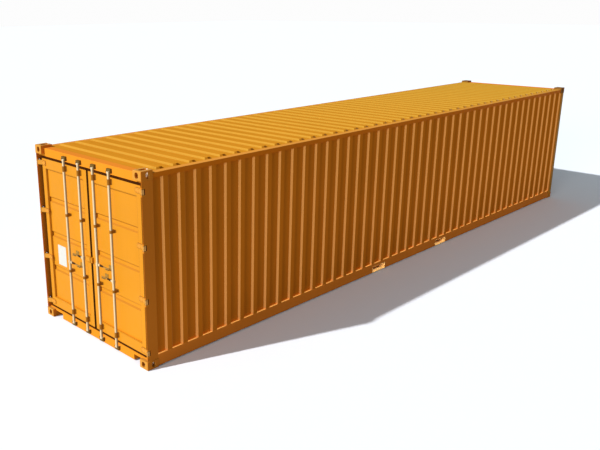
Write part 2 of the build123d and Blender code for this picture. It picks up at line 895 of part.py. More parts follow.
def lock_plate(s):
    """This leaf's half of the lock block, open below."""
    y0, y1 = left_lock if s > 0 else right_lock
    front = face_x - lock_proud
    top = lock_z0 + lock_height
    w = lock_wall
    with BuildPart() as box:
        block(front, face_x, s * y0, s * y1, lock_z0, top)
        chamfer(box.faces().sort_by(Axis.X)[0].edges(), lock_edge)
        block(front + w, face_x, s * (y0 + w), s * (y1 - w), lock_z0, top - w, Mode.SUBTRACT)
    return box


for s, hand in ((1, "left"), (-1, "right")):
    save(rear_post(s), hand + "_rear_post")
    save(hinge_lugs(s), hand + "_hinge_lugs")
    save(front_post(s), hand + "_front_post")
    save(side_wall(s), hand + "_side_wall")
    save(roof_rail(s), hand + "_top_rail")
    save(bottom_rail(s), hand + "_bottom_rail")
    save(door_frame(s), hand + "_door_frame")
    save(door_panel(s), hand + "_door_panel")
    save(door_gasket(s), hand + "_door_gasket")
    save(door_hinges(s), hand + "_door_hinges")
    save(bar_brackets(s), hand + "_bar_brackets")
    save(handle_catches(s), hand + "_handle_catches")
    save(lock_plate(s), hand + "_lock_plate")
    save(lock_bar(s * outer_bar_y, -s, upper_handle_z - handle_drop), hand + "_outer_bar")
    save(lock_bar(s * inner_bar_y, s, upper_handle_z), hand + "_inner_bar")
    save(lever(s * outer_bar_y, -s, upper_handle_z - handle_drop), hand + "_outer_handle")
    save(lever(s * inner_bar_y, s, upper_handle_z), hand + "_inner_handle")
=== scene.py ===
import math

import bmesh
import bpy
from mathutils import Matrix, Vector


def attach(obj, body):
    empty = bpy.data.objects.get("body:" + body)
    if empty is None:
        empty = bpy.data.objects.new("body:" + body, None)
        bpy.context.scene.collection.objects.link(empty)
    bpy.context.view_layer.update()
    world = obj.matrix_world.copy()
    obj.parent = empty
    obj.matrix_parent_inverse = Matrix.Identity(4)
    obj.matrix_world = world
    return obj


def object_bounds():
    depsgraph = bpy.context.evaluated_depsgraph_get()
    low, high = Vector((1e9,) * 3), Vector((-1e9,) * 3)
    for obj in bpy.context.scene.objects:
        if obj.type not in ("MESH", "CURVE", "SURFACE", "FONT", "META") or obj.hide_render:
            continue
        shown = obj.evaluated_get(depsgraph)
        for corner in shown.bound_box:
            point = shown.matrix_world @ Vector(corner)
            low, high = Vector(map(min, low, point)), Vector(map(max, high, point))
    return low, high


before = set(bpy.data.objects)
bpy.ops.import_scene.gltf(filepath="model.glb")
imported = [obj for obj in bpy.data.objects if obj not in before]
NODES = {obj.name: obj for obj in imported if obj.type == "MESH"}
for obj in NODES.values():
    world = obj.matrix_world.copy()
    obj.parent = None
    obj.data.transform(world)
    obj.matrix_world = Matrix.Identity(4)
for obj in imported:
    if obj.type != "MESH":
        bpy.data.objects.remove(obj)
CAD_LO, CAD_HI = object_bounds()

# Places on the object, in metres in the row frame, as the CAD has them

FACE_X = -6.046
PANEL_X = -6.018
BAR_X = -6.0715
BAR_Y = {"outer": 0.522, "inner": 0.168}
HANDLE_Z = {"outer": 1.013, "inner": 1.158}
LEAF_Z = (0.162, 2.410)
LEAF_Y = (0.015, 1.140)
LIP = 0.007
SEAL_RIVET_X = FACE_X + 0.004
SEAL_RIVET_Y = 1.151
SEAL_RIVET_Z = (2.421, 0.151)
BRACKET_DEPTH = 0.005
PANEL_Y = (0.115, 1.050)
PANEL_Z = (0.314, 2.258)
PLATE_Y = (0.703, 0.913)
PLATE_Z = (0.862, 1.162)
LOCK_Z = (1.136, 1.213)
GUIDE_Z = (0.254, 0.877, 1.692, 2.345)
HINGE_Z = tuple(0.235 + i * (2.340 - 0.235) / 3 for i in range(4))
HINGE_BOLT_Y = (1.060, 1.104)
KEEPERS = ((0.090, -1), (2.466, 1))
KEEPER_HALF = 0.045
CAP_HALF = 0.043
SKIN_Y = 1.212
POST_X = 6.090
FRONT_POST_X = 5.990
FRONT_POST_Y = 1.134
REAR_POST_Y = 1.208
CASTING_X = 5.918
CASTING_Y = 1.057
CASTING_Z = (0.118, 2.473)
CASTING_HOLLOW_X = 5.932
RAIL_Y = 1.214
SEAM_Y = 1.2145
UNDER_Z = 0.0175
SILL_RECESS_Z = 0.096
RAIL_TOP = 0.175
WALL_TOP = 2.490
TOP_RAIL_Z = 2.491
ROOF_Z = 2.550
WAVE = {"first": -5.7815, "pitch": 0.2657, "run": 0.024, "crest": 0.078, "depth": 0.026, "count": 45}
RIB_X = WAVE["first"] + WAVE["run"] + WAVE["crest"] / 2
RIB_END_Y = 1.11
HANDS = (("left", 1), ("right", -1))

# Radii of bolts and rivets, and widths of weld beads

GUIDE_BOLT = 0.0041
CATCH_BOLT = 0.0062
HINGE_BOLT = 0.0065
SEAL_RIVET = 0.0045
PLATE_RIVET = 0.0042
SHEET_BEAD = 0.0018
THIN_BEAD = 0.003
BEAD = 0.004
SHADE_BEAD = 0.009


# Shader helpers

def new_material(name):
    m = bpy.data.materials.new(name)
    m.use_nodes = True
    tree = m.node_tree
    return m, tree, tree.nodes["Principled BSDF"]


def place(tree, stretch=(1, 1, 1)):
    """Coordinates on the object in metres, stretched along its axes."""
    coord = tree.nodes.new("ShaderNodeTexCoord")
    mapping = tree.nodes.new("ShaderNodeMapping")
    mapping.inputs["Scale"].default_value = stretch
    tree.links.new(coord.outputs["Object"], mapping.inputs["Vector"])
    return mapping.outputs["Vector"]


def noise(tree, scale, detail=4.0, rough=0.55, stretch=(1, 1, 1)):
    tex = tree.nodes.new("ShaderNodeTexNoise")
    tex.inputs["Scale"].default_value = scale
    tex.inputs["Detail"].default_value = detail
    tex.inputs["Roughness"].default_value = rough
    tree.links.new(place(tree, stretch), tex.inputs["Vector"])
    return tex.outputs["Fac"]


def math_node(tree, op, a, b=None, clamp=False):
    node = tree.nodes.new("ShaderNodeMath")
    node.operation = op
    node.use_clamp = clamp
    for i, v in enumerate((a, b)):
        if v is None:
            continue
        if isinstance(v, (int, float)):
            node.inputs[i].default_value = v
        else:
            tree.links.new(v, node.inputs[i])
    return node.outputs[0]


def ramp(tree, fac, stops):
    node = tree.nodes.new("ShaderNodeValToRGB")
    node.color_ramp.elements[0].position = stops[0][0]
    node.color_ramp.elements[0].color = (*stops[0][1], 1)
    node.color_ramp.elements[1].position = stops[-1][0]
    node.color_ramp.elements[1].color = (*stops[-1][1], 1)
    for pos, col in stops[1:-1]:
        e = node.color_ramp.elements.new(pos)
        e.color = (*col, 1)
    tree.links.new(fac, node.inputs["Fac"])
    return node.outputs["Color"]


def grey(tree, fac, stops):
    return ramp(tree, fac, [(p, (v, v, v)) for p, v in stops])


def mix(tree, fac, a, b, blend="MIX"):
    node = tree.nodes.new("ShaderNodeMix")
    node.data_type = "RGBA"
    node.blend_type = blend
    if isinstance(fac, float):
        node.inputs["Factor"].default_value = fac
    else:
        tree.links.new(fac, node.inputs["Factor"])
    for socket, value in (("A", a), ("B", b)):
        target = [i for i in node.inputs if i.name == socket and i.type == "RGBA"][0]
        if isinstance(value, tuple):
            target.default_value = (*value, 1)
        else:
            tree.links.new(value, target)
    return [o for o in node.outputs if o.type == "RGBA"][0]


def bump(tree, bsdf, height, strength, distance, under):
    node = tree.nodes.new("ShaderNodeBump")
    node.inputs["Strength"].default_value = strength
    node.inputs["Distance"].default_value = distance
    tree.links.new(height, node.inputs["Height"])
    tree.links.new(under, node.inputs["Normal"])
    tree.links.new(node.outputs["Normal"], bsdf.inputs["Normal"])


def rounded(tree, radius):
    node = tree.nodes.new("ShaderNodeBevel")
    node.samples = 4
    node.inputs["Radius"].default_value = radius
    return node.outputs["Normal"]


def edge_mask(tree, radius):
    """High near sharp edges: where the rounded normal leaves the true one."""
    geo = tree.nodes.new("ShaderNodeNewGeometry")
    dot = tree.nodes.new("ShaderNodeVectorMath")
    dot.operation = "DOT_PRODUCT"
    tree.links.new(rounded(tree, radius), dot.inputs[0])
    tree.links.new(geo.outputs["Normal"], dot.inputs[1])
    return math_node(tree, "SUBTRACT", 1.0, dot.outputs["Value"], True)


def facing(tree, axis):
    """How far the surface looks along one of its object's axes, from -1 to 1."""
    coord = tree.nodes.new("ShaderNodeTexCoord")
    parts = tree.nodes.new("ShaderNodeSeparateXYZ")
    tree.links.new(coord.outputs["Normal"], parts.inputs[0])
    return parts.outputs[axis]


def spot(tree, axis):
    """The place on the object along one axis, in metres."""
    coord = tree.nodes.new("ShaderNodeTexCoord")
    parts = tree.nodes.new("ShaderNodeSeparateXYZ")
    tree.links.new(coord.outputs["Object"], parts.inputs[0])
    return parts.outputs[axis]


def span(tree, axis, start, end):
    """0 at the start and 1 at the end of a stretch along one axis."""
    reached = math_node(tree, "SUBTRACT", spot(tree, axis), start)
    return math_node(tree, "DIVIDE", reached, end - start, True)


def along(tree):
    """0 at the doors, 1 at the blind end."""
    return span(tree, "X", CAD_LO[0], CAD_HI[0])


def scaled(col, k):
    """A colour made lighter or darker, and never above 1."""
    return tuple(min(1.0, c * k) for c in col)


# Materials

def inner_end(tree):
    """1 on the end faces inside the corner castings, which are made pale as painted light."""
    tolerance = 0.004
    near = math_node(tree, "COMPARE", math_node(tree, "ABSOLUTE", spot(tree, "X")), CASTING_HOLLOW_X)
    near.node.inputs[2].default_value = tolerance
    turned = math_node(tree, "GREATER_THAN", math_node(tree, "ABSOLUTE", facing(tree, "X")), 0.9)
    return math_node(tree, "MULTIPLY", near, turned)


def roof_margins_and_rib_end_shade(tree, col):
    """The roof's lighter margins, and painted shade at its ribs' ends.

    The painted shade sits on the half of each end that is nearer to the blind end, and pales towards it.
    """
    margin_lift, rib_end_shade, far_rib_end_shade = (1.10, 1.14, 2.8), (0.27, 0.080, 0.002), (1.0, 0.60, 0.22)
    blend = 0.02
    past = math_node(tree, "SUBTRACT", math_node(tree, "ABSOLUTE", spot(tree, "Y")), RIB_END_Y)
    margin = math_node(tree, "DIVIDE", past, blend, True)
    col = mix(tree, margin, col, mix(tree, 1.0, col, margin_lift, "MULTIPLY"))
    # Painted shade on half of each rib end, paler towards the blind end
    turn = math_node(tree, "DIVIDE", math_node(tree, "SUBTRACT", spot(tree, "X"), RIB_X), WAVE["pitch"])
    within = math_node(tree, "FRACT", math_node(tree, "ADD", turn, 0.5))
    half = grey(tree, within, [(0.47, 0.0), (0.53, 1.0)])
    end = grey(tree, math_node(tree, "ABSOLUTE", facing(tree, "Y")), [(0.45, 0.0), (0.60, 1.0)])
    blind_end_weight = math_node(tree, "POWER", along(tree), 2.0)
    tone = mix(tree, blind_end_weight, rib_end_shade, far_rib_end_shade)
    return mix(tree, math_node(tree, "MULTIPLY", half, end), col, tone)


def paint(name, base, fade, rough=(0.36, 0.52), runs=0.30, painted_light_by_facing=(), cast=False,
          edge=0.0035, gloss=0.08, line=0.0, far=None, foot=None, detail=None):
    """Container paint: patchy fading, rain streaks, orange peel, edges worn pale, and edges lined with
    painted shade.

    The folds give, for an axis, the colour of the faces that look along it: painted light and shade by
    which way a face looks.
    Far is how much of each colour is left at the blind end, as painted shade that darkens towards it,
    and foot is the same at the foot of the walls, as painted light that lightens towards it.
    Detail is a function that adds more to the colour.
    """
    m, t, b = new_material(name)
    patch = noise(t, 0.7, 5)
    col = ramp(t, patch, [(0.30, scaled(base, 1 - fade)), (0.70, scaled(base, 1 + 0.6 * fade))])
    if runs:
        streak = noise(t, 5.0, 6, 0.62, (5.0, 5.0, 0.22))
        col = mix(t, grey(t, streak, [(0.55, 0.0), (0.82, runs)]), col, scaled(base, 0.70))
    fine = noise(t, 220.0, 2)
    col = mix(t, 1.0, col, grey(t, fine, [(0.35, 0.955), (0.65, 1.0)]), "MULTIPLY")
    # Painted light and shade: faces coloured by which way they look
    for axis, tone in painted_light_by_facing:
        slope = math_node(t, "ABSOLUTE", facing(t, axis))
        col = mix(t, grey(t, slope, [(0.45, 0.0), (0.60, 1.0)]), col, tone)
    # Painted shade: darker towards the blind end
    if far:
        col = mix(t, along(t), col, mix(t, 1.0, col, far, "MULTIPLY"))
    # Painted light: lighter towards the foot of the walls
    if foot:
        col = mix(t, span(t, "Z", WALL_TOP, RAIL_TOP), col, mix(t, 1.0, col, foot, "MULTIPLY"))
    if detail:
        col = detail(t, col)
    rim = edge_mask(t, edge)
    grain = noise(t, 45.0, 5, 0.7)
    chip = math_node(t, "MULTIPLY", rim, math_node(t, "ADD", grain, 0.35))
    col = mix(t, grey(t, chip, [(0.10, 0.0), (0.42, 0.55)]), col, scaled(base, 1.45))
    # Painted light: the end faces inside the castings made pale
    if cast:
        col = mix(t, inner_end(t), col, (0.95, 0.80, 0.58))
    # Painted shade: a dark line along sharp edges
    if line:
        col = mix(t, grey(t, edge_mask(t, 0.016), [(0.010, 0.0), (0.08, line)]), col, scaled(base, 0.38))
    t.links.new(col, b.inputs["Base Color"])
    t.links.new(grey(t, noise(t, 2.6, 4), [(0.3, rough[0]), (0.7, rough[1])]), b.inputs["Roughness"])
    b.inputs["Specular IOR Level"].default_value = gloss
    if cast:
        bump(t, b, noise(t, 95.0, 6, 0.7), 0.35, 0.0012, rounded(t, edge))
    else:
        bump(t, b, noise(t, 320.0, 3), 0.10, 0.0006, rounded(t, edge))
    return m


def zinc(name, base, metallic, rough=(0.34, 0.50), shade=1.0):
    """Galvanised steel: spangle cells, dull patches and rubbed edges.

    Shade is how much of the colour is left on a bar's side that looks along +X or -Y,
    however far the bar is turned.
    """
    m, t, b = new_material(name)
    cells = t.nodes.new("ShaderNodeTexVoronoi")
    cells.inputs["Scale"].default_value = 85.0
    t.links.new(place(t), cells.inputs["Vector"])
    tone = math_node(t, "MULTIPLY", cells.outputs["Distance"], 1.3, True)
    col = ramp(t, tone, [(0.0, scaled(base, 0.93)), (0.8, scaled(base, 1.03))])
    col = mix(t, grey(t, noise(t, 6.0, 4), [(0.42, 0.0), (0.75, 0.5)]), col, scaled(base, 0.84))
    runs = noise(t, 4.0, 5, 0.6, (9.0, 9.0, 0.5))
    col = mix(t, grey(t, runs, [(0.60, 0.0), (0.85, 0.35)]), col, scaled(base, 0.66))
    if shade < 1.0:
        geo = t.nodes.new("ShaderNodeNewGeometry")
        parts = t.nodes.new("ShaderNodeSeparateXYZ")
        t.links.new(geo.outputs["Normal"], parts.inputs[0])
        away = math_node(t, "SUBTRACT", parts.outputs["X"], parts.outputs["Y"])
        col = mix(t, grey(t, away, [(0.0, 0.0), (0.20, 1.0)]), col, scaled(base, shade))
    col = mix(t, grey(t, edge_mask(t, 0.0015), [(0.1, 0.0), (0.5, 0.5)]), col, scaled(base, 1.15))
    t.links.new(col, b.inputs["Base Color"])
    b.inputs["Metallic"].default_value = metallic
    b.inputs["Specular IOR Level"].default_value = 0.12
    t.links.new(grey(t, noise(t, 11.0, 3), [(0.3, rough[0]), (0.7, rough[1])]), b.inputs["Roughness"])
    bump(t, b, cells.outputs["Distance"], 0.10, 0.0004, rounded(t, 0.0015))
    return m


def rubber(name, base, rough):
    """Dark rubber: patches, dust in the grain and a fine pebble."""
    m, t, b = new_material(name)
    col = ramp(t, noise(t, 12.0, 5), [(0.3, scaled(base, 0.75)), (0.75, scaled(base, 1.6))])
    dust = noise(t, 38.0, 6, 0.7)
    col = mix(t, grey(t, dust, [(0.58, 0.0), (0.85, 0.12)]), col, (0.05, 0.04, 0.03))
    t.links.new(col, b.inputs["Base Color"])
    t.links.new(grey(t, noise(t, 20.0, 3), [(0.3, rough - 0.1), (0.7, rough + 0.1)]), b.inputs["Roughness"])
    b.inputs["Specular IOR Level"].default_value = 0.03
    bump(t, b, noise(t, 260.0, 3), 0.18, 0.0005, rounded(t, 0.0012))
    return m


def boards(name):
    """Sealed plywood in sheets across the floor, with grain, scuffs and rows of screws."""
    m, t, b = new_material(name)
    brick = t.nodes.new("ShaderNodeTexBrick")
    brick.offset = 0.5
    brick.inputs["Scale"].default_value = 1.0
    brick.inputs["Brick Width"].default_value = 2.4
    brick.inputs["Row Height"].default_value = 1.18
    brick.inputs["Mortar Size"].default_value = 0.004
    brick.inputs["Mortar Smooth"].default_value = 0.2
    t.links.new(place(t), brick.inputs["Vector"])
    grain = noise(t, 7.0, 9, 0.68, (0.3, 7.0, 1.0))
    dark, middle, light = (0.16, 0.080, 0.034), (0.27, 0.145, 0.066), (0.35, 0.20, 0.095)
    col = ramp(t, grain, [(0.25, dark), (0.55, middle), (0.8, light)])
    col = mix(t, grey(t, noise(t, 2.0, 6), [(0.45, 0.0), (0.8, 0.45)]), col, (0.11, 0.07, 0.042))

    # Screws in rows: how far the floor is from the nearest one
    lengthwise = math_node(t, "POWER", math_node(t, "PINGPONG", spot(t, "X"), 0.145), 2.0)
    row = math_node(t, "PINGPONG", math_node(t, "ADD", spot(t, "Y"), 0.07), 0.10)
    crosswise = math_node(t, "POWER", row, 2.0)
    reach = math_node(t, "SQRT", math_node(t, "ADD", lengthwise, crosswise))
    screw = grey(t, reach, [(0.0045, 1.0), (0.006, 0.0)])
    col = mix(t, screw, col, (0.30, 0.29, 0.27))

    col = mix(t, grey(t, brick.outputs["Fac"], [(0.1, 0.0), (0.6, 0.85)]), col, (0.035, 0.022, 0.014))
    t.links.new(col, b.inputs["Base Color"])
    t.links.new(grey(t, noise(t, 3.5, 4), [(0.3, 0.45), (0.7, 0.68)]), b.inputs["Roughness"])
    bump(t, b, grain, 0.22, 0.001, rounded(t, 0.002))
    return m


# Looks by name, with colours in linear values

ORANGE = (0.655, 0.240, 0.014)
DOOR_ORANGE = (0.640, 0.252, 0.013)
CAST_ORANGE = (0.60, 0.270, 0.040)
# Tones for faces that look along an axis, as the castings' side tone, and the far, foot and line settings
# below are painted light and shade
CAST_SIDE = (("Y", (0.62, 0.190, 0.016)),)
MATERIALS = {
    "door": paint("door_paint", DOOR_ORANGE, 0.05, runs=0.16, line=0.55),
    "panel": paint("panel_paint", DOOR_ORANGE, 0.05, runs=0.16, painted_light_by_facing=(("Z", (0.47, 0.175, 0.012)),)),
    "wall": paint("wall_paint", (0.652, 0.186, 0.0115), 0.07, gloss=0.0, foot=(1.10, 1.07, 1.12),
                  painted_light_by_facing=(("X", (0.84, 0.36, 0.085)),)),
    "end": paint("blind_end_paint", ORANGE, 0.07),
    "roof": paint("roof_paint", (0.74, 0.287, 0.019), 0.05, runs=0.0, gloss=0.0, far=(0.79, 0.90, 0.90),
                  painted_light_by_facing=(("X", (0.53, 0.258, 0.030)),), detail=roof_margins_and_rib_end_shade),
    "frame": paint("frame_paint", (0.74, 0.258, 0.0180), 0.06, gloss=0.0),
    "post": paint("post_paint", (0.655, 0.190, 0.014), 0.06, gloss=0.03),
    "front_post": paint("front_post_paint", ORANGE, 0.07, gloss=0.02,
                        painted_light_by_facing=(("Y", (0.42, 0.200, 0.035)),)),
    "top_rail": paint("top_rail_paint", (0.67, 0.168, 0.007), 0.06, gloss=0.01,
                      painted_light_by_facing=(("Z", (0.828, 0.319, 0.06)),)),
    "bottom_rail": paint("bottom_rail_paint", (0.685, 0.197, 0.021), 0.06, gloss=0.01,
                         painted_light_by_facing=(("Z", (0.86, 0.40, 0.085)),)),
    "end_plate": paint("end_plate_paint", (0.86, 0.268, 0.028), 0.05, runs=0.0, gloss=0.0),
    "cast": paint("casting_paint", CAST_ORANGE, 0.09, cast=True, edge=0.006, gloss=0.02, painted_light_by_facing=CAST_SIDE),
    "cast_top": paint("top_casting_paint", CAST_ORANGE, 0.09, cast=True, edge=0.006, gloss=0.02,
                      painted_light_by_facing=CAST_SIDE, far=(0.36, 0.38, 0.46)),
    "inside": paint("joist_paint", (0.46, 0.20, 0.035), 0.10, rough=(0.5, 0.65)),
    "pocket": paint("pocket_paint", (0.90, 0.52, 0.17), 0.03, gloss=0.02, runs=0.05),
    "hinge": paint("hinge_paint", (0.66, 0.290, 0.040), 0.08, runs=0.12, line=1.0, gloss=0.02,
                   painted_light_by_facing=(("Y", (1.0, 0.50, 0.15)),)),
    "lug": paint("lug_paint", (0.76, 0.25, 0.02), 0.08, runs=0.12, edge=0.003, gloss=0.02),
    "keeper": paint("keeper_paint", (0.150, 0.082, 0.012), 0.14, runs=0.2, edge=0.003),
    # The guides' dark brown stands for the orange in shade: painted shade
    "guide": paint("guide_paint", (0.30, 0.120, 0.012), 0.12, runs=0.2, edge=0.003),
    "zinc": zinc("galvanised_steel", (0.70, 0.54, 0.32), 0.08, shade=0.55),
    "lever": zinc("lever_steel", (0.30, 0.160, 0.038), 0.03),
    "catch": zinc("catch_steel", (0.34, 0.185, 0.034), 0.03),
    "bolt": zinc("bolt_steel", (0.46, 0.44, 0.40), 0.6, (0.30, 0.45)),
    # The panel's side beads: a dark copy of the door orange, as painted shade
    "shade_bead": paint("shade_bead_paint", (0.47, 0.170, 0.010), 0.08, runs=0.1, gloss=0.02),
    "weld": paint("weld_paint", (0.64, 0.225, 0.013), 0.10, cast=True, edge=0.002),
    "seal": rubber("door_seal", (0.046, 0.011, 0.001), 0.85),
    "grip": rubber("handle_grip", (0.040, 0.018, 0.006), 0.55),
    "white": paint("plate_paint", (0.615, 0.610, 0.560), 0.02, runs=0.04, edge=0.001),
    "wood": boards("floor_board"),
}

# The look of each CAD node: by its name, by its name's ending, or else the frame's

LOOK = {
    "roof": "roof", "floor": "wood", "fork_pockets": "pocket", "bar_keepers": "keeper",
    "corner_castings_bottom": "cast", "corner_castings_top": "cast_top", "front_wall": "end",
    "cross_members": "inside", "gooseneck_recess": "inside", "keeper_caps": "keeper",
    "roof_end_plates": "end_plate", "front_header": "roof",
    "left_rear_post": "post", "right_rear_post": "post",
    "left_front_post": "front_post", "right_front_post": "front_post",
    "left_top_rail": "top_rail", "right_top_rail": "top_rail",
    "left_bottom_rail": "bottom_rail", "right_bottom_rail": "bottom_rail",
}
ENDINGS = (
    ("side_wall", "wall"), ("gasket", "seal"), ("_bar", "zinc"), ("_handle", "lever"),
    ("catches", "catch"), ("brackets", "guide"), ("hinges", "hinge"), ("lugs", "lug"),
    ("door_frame", "door"), ("door_panel", "panel"), ("lock_plate", "door"),
)


def look(name):
    if name in LOOK:
        return LOOK[name]
    for ending, key in ENDINGS:
        if name.endswith(ending):
            return key
    return "frame"


for name, obj in NODES.items():
    if not obj.material_slots:
        obj.data.materials.append(MATERIALS[look(name)])
    for s in obj.material_slots:
        s.material = MATERIALS[look(name)]


# The photo's doors carry no shadow of their bars and of what belongs to them

NO_SHADOW = ("_bar", "_handle", "brackets", "catches", "keepers", "caps", "_bolts", "_grip")
for name, obj in NODES.items():
    if name.endswith(NO_SHADOW):
        obj.visible_shadow = False


# Added pieces

def piece(name, bm, key, body, smooth=False):
    """Make a piece of the scene that rides on one of the part's bodies."""
    mesh = bpy.data.meshes.new(name)
    bmesh.ops.recalc_face_normals(bm, faces=bm.faces)
    bm.to_mesh(mesh)
    bm.free()
    obj = bpy.data.objects.new(name, mesh)
    bpy.context.collection.objects.link(obj)
    mesh.materials.append(MATERIALS[key])
    for p in mesh.polygons:
        p.use_smooth = smooth
    obj.visible_shadow = not name.endswith(NO_SHADOW)
    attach(obj, body)


def rings(bm, sections):
    """Skin a row of equal rings of points, with a cap at each end."""
    rows = [[bm.verts.new(p) for p in ring] for ring in sections]
    for a, b in zip(rows, rows[1:]):
        n = len(a)
        for i in range(n):
            j = (i + 1) % n
            bm.faces.new((a[i], a[j], b[j], b[i]))
    bm.faces.new(rows[0][::-1])
    bm.faces.new(rows[-1])


def axes(out):
    """Two directions at right angles to out."""
    side = Vector((0, 0, 1)) if abs(out.z) < 0.5 else Vector((1, 0, 0))
    u = side.cross(out).normalized()
    return u, out.cross(u).normalized()


def bolt(bm, at, out, r, turn=0.0):
    """A hexagon head with a domed top, on a washer."""
    at, out = Vector(at), Vector(out)
    u, v = axes(out)

    def circle(count, radius, height, start=0.0):
        ring = []
        for i in range(count):
            a = start + 2 * math.pi * i / count
            ring.append(at + out * height + (u * math.cos(a) + v * math.sin(a)) * radius)
        return ring

    foot = 0.18 * r
    rings(bm, [circle(14, 1.30 * r, -0.0006), circle(14, 1.30 * r, foot * 0.7), circle(14, 1.2 * r, foot)])
    rings(bm, [
        circle(6, r, foot * 0.5, turn),
        circle(6, r, foot + 0.50 * r, turn),
        circle(6, 0.86 * r, foot + 0.64 * r, turn),
    ])


def rivet(bm, at, out, r):
    """A low domed head."""
    at, out = Vector(at), Vector(out)
    u, v = axes(out)
    rows = []
    for k in range(4):
        a = k / 3 * math.pi / 2 * 0.9
        radius, lift = r * math.cos(a), 0.55 * r * math.sin(a)
        ring = []
        for i in range(10):
            b = 2 * math.pi * i / 10
            ring.append(at + out * (lift - 0.0003) + (u * math.cos(b) + v * math.sin(b)) * radius)
        rows.append(ring)
    rings(bm, rows)


def bead(bm, path, a, b, size):
    """A weld bead along a path, in the corner between directions a and b."""
    path = [Vector(p) for p in path]
    a, b = Vector(a), Vector(b)
    stations = []
    for p, q in zip(path, path[1:]):
        count = max(1, int((q - p).length / 0.30))
        for k in range(count):
            stations.append(p.lerp(q, k / count))
    stations.append(path[-1])
    sink = 0.0006
    rows = []
    for p in stations:
        rows.append([
            p - a * sink - b * sink,
            p + a * size - b * sink,
            p + a * size * 0.62 + b * size * 0.62,
            p + b * size - a * sink,
        ])
    rings(bm, rows)


def shell_plate(bm, x_back, x_front, y0, y1, z0, z1, radius):
    """A plate facing -X with rounded corners and a softened front edge."""
    steps = 5
    corners = (
        (y1 - radius, z1 - radius),
        (y0 + radius, z1 - radius),
        (y0 + radius, z0 + radius),
        (y1 - radius, z0 + radius),
    )
    soft = abs(x_back - x_front) * 0.35

    def loop(x, shrink):
        ring = []
        for quarter, (cy, cz) in enumerate(corners):
            for i in range(steps):
                a = math.pi / 2 * (quarter + i / (steps - 1))
                reach = radius - shrink
                ring.append((x, cy + reach * math.cos(a), cz + reach * math.sin(a)))
        return ring

    rings(bm, [loop(x_back, 0), loop(x_front + soft, 0), loop(x_front, soft)])


# Bolts and plates of each leaf

for hand, s in HANDS:
    body = hand + "_door"
    bm = bmesh.new()
    for which in ("inner", "outer"):
        y = s * BAR_Y[which]
        for i, z in enumerate(GUIDE_Z):
            end = i in (0, 3)
            x = (FACE_X if end else PANEL_X) - BRACKET_DEPTH
            for dy in (-0.0293, 0.0293):
                for dz in ((-0.025, 0.025) if end else (0.0,)):
                    bolt(bm, (x, y + dy, z + dz), (-1, 0, 0), GUIDE_BOLT, 0.3 * i)
    piece(hand + "_guide_bolts", bm, "guide", body)

    bm = bmesh.new()
    for which in ("inner", "outer"):
        side = s if which == "inner" else -s
        z = HANDLE_Z[which] + 0.021
        for dy in (0.200, 0.252):
            y = s * BAR_Y[which] + side * dy
            bolt(bm, (PANEL_X - BRACKET_DEPTH, y, z), (-1, 0, 0), CATCH_BOLT, 0.5)
    piece(hand + "_catch_bolts", bm, "catch", body)

    bm = bmesh.new()
    for k, z in enumerate(HINGE_Z):
        for y in HINGE_BOLT_Y:
            for dz in (-0.018, 0.018):
                bolt(bm, (FACE_X - 0.010, s * y, z + dz), (-1, 0, 0), HINGE_BOLT, 0.4 * k)
    piece(hand + "_hinge_bolts", bm, "lug", body)

    # Weld beads over and under the panel
    bm = bmesh.new()
    ya, yb = (s * y for y in PANEL_Y)
    za, zb = PANEL_Z
    bead(bm, [(PANEL_X, ya, za), (PANEL_X, yb, za)], (-1, 0, 0), (0, 0, 1), BEAD)
    bead(bm, [(PANEL_X, ya, zb), (PANEL_X, yb, zb)], (-1, 0, 0), (0, 0, -1), BEAD)
    piece(hand + "_door_welds", bm, "weld", body, True)

    # Dark beads down the sides of the panel, coloured as painted shade
    bm = bmesh.new()
    for y, toward in ((ya, s), (yb, -s)):
        bead(bm, [(PANEL_X, y, za), (PANEL_X, y, zb)], (-1, 0, 0), (0, toward, 0), SHADE_BEAD)
    piece(hand + "_panel_sealant", bm, "shade_bead", body, True)

    # Rivets of the seal: along the leaf's top and foot, and up its outer side
    bm = bmesh.new()
    for i in range(9):
        y = s * (0.075 + i * 0.124)
        for z in SEAL_RIVET_Z:
            rivet(bm, (SEAL_RIVET_X, y, z), (-1, 0, 0), SEAL_RIVET)
    for i in range(16):
        z = 0.26 + i * 0.1365
        rivet(bm, (SEAL_RIVET_X, s * SEAL_RIVET_Y, z), (-1, 0, 0), SEAL_RIVET)
    piece(hand + "_seal_rivets", bm, "grip", body, True)

    # The seal's outer lip, folded over the leaf's top, bottom and inner edges
    bm = bmesh.new()
    back, front = FACE_X + 0.0004, FACE_X - 0.0022
    (z0, z1), (y0, y1) = LEAF_Z, LEAF_Y
    shell_plate(bm, back, front, *sorted((s * y0, s * y1)), z1 - LIP, z1, 0.002)
    shell_plate(bm, back, front, *sorted((s * y0, s * y1)), z0, z0 + LIP, 0.002)
    for low, high in ((z0, LOCK_Z[0]), (LOCK_Z[1], z1)):
        shell_plate(bm, back, front, *sorted((s * y0, s * (y0 + LIP))), low, high, 0.002)
    piece(hand + "_seal_lip", bm, "seal", body)

# The bare white plate on the left leaf

bm = bmesh.new()
shell_plate(bm, PANEL_X + 0.0004, PANEL_X - 0.0026, *PLATE_Y, *PLATE_Z, 0.008)
piece("bare_plate", bm, "white", "left_door")
bm = bmesh.new()
inset = 0.012
(y0, y1), (z0, z1) = PLATE_Y, PLATE_Z
for y in (y0 + inset, (y0 + y1) / 2, y1 - inset):
    for z in (z0 + inset, z1 - inset):
        rivet(bm, (PANEL_X - 0.0024, y, z), (-1, 0, 0), PLATE_RIVET)
piece("plate_rivets", bm, "bolt", "left_door", True)

# A dark grip on each lever, next to its hub, as distance from the bar, half width and half height

